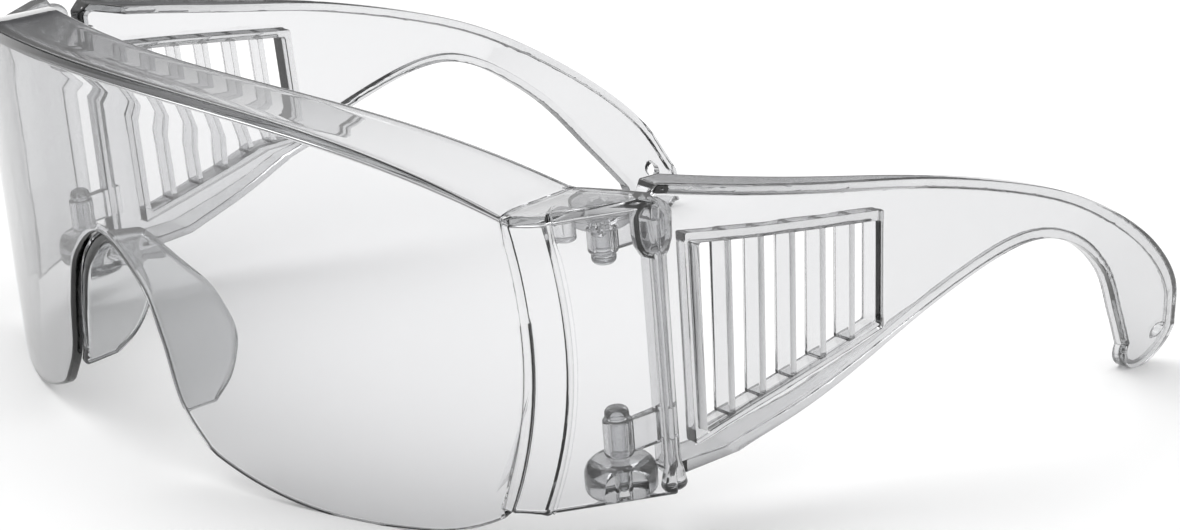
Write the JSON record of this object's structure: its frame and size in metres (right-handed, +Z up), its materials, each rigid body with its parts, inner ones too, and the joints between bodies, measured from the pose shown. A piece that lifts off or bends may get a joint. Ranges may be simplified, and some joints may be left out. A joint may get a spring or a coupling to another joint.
{
  "type": "safety glasses",
  "caption": "Wrap-around clear safety over-spectacles with a brow shelf, a moulded nosepiece and wide vented temples that fold inward on hinge pins.",
  "frame": {"origin": "on the table, under the middle of the open glasses' overall box", "axes": "+Z up, the lens faces -Y, the wearer's left is +X; the glasses stand open on the lens's lower edge and the two temple tips"},
  "size_m": [0.1652, 0.1882, 0.0635],
  "materials": {
    "clear_shell": "water-clear, high-gloss injection-moulded polycarbonate",
    "clear_nosepiece": "clear polycarbonate with a slightly milky, softer gloss",
    "clear_pin": "clear glossy plastic"
  },
  "bodies": {
    "front": {"front_shield": "clear_shell", "nose_saddle": "clear_nosepiece", "left_top_pin": "clear_pin", "left_bottom_pin": "clear_pin", "right_top_pin": "clear_pin", "right_bottom_pin": "clear_pin"},
    "left_arm": {"left_temple": "clear_shell"},
    "right_arm": {"right_temple": "clear_shell"}
  },
  "joints": [
    {"name": "left_fold", "type": "hinge", "parent": "front", "child": "left_arm", "pos_m": [0.0746, -0.05067, 0.03008], "axis": [0, -0.1554, 0.9878], "range_deg": [0, 90]},
    {"name": "right_fold", "type": "hinge", "parent": "front", "child": "right_arm", "pos_m": [-0.0746, -0.05067, 0.03008], "axis": [0, 0.1554, -0.9878], "range_deg": [0, 78]}
  ]
}
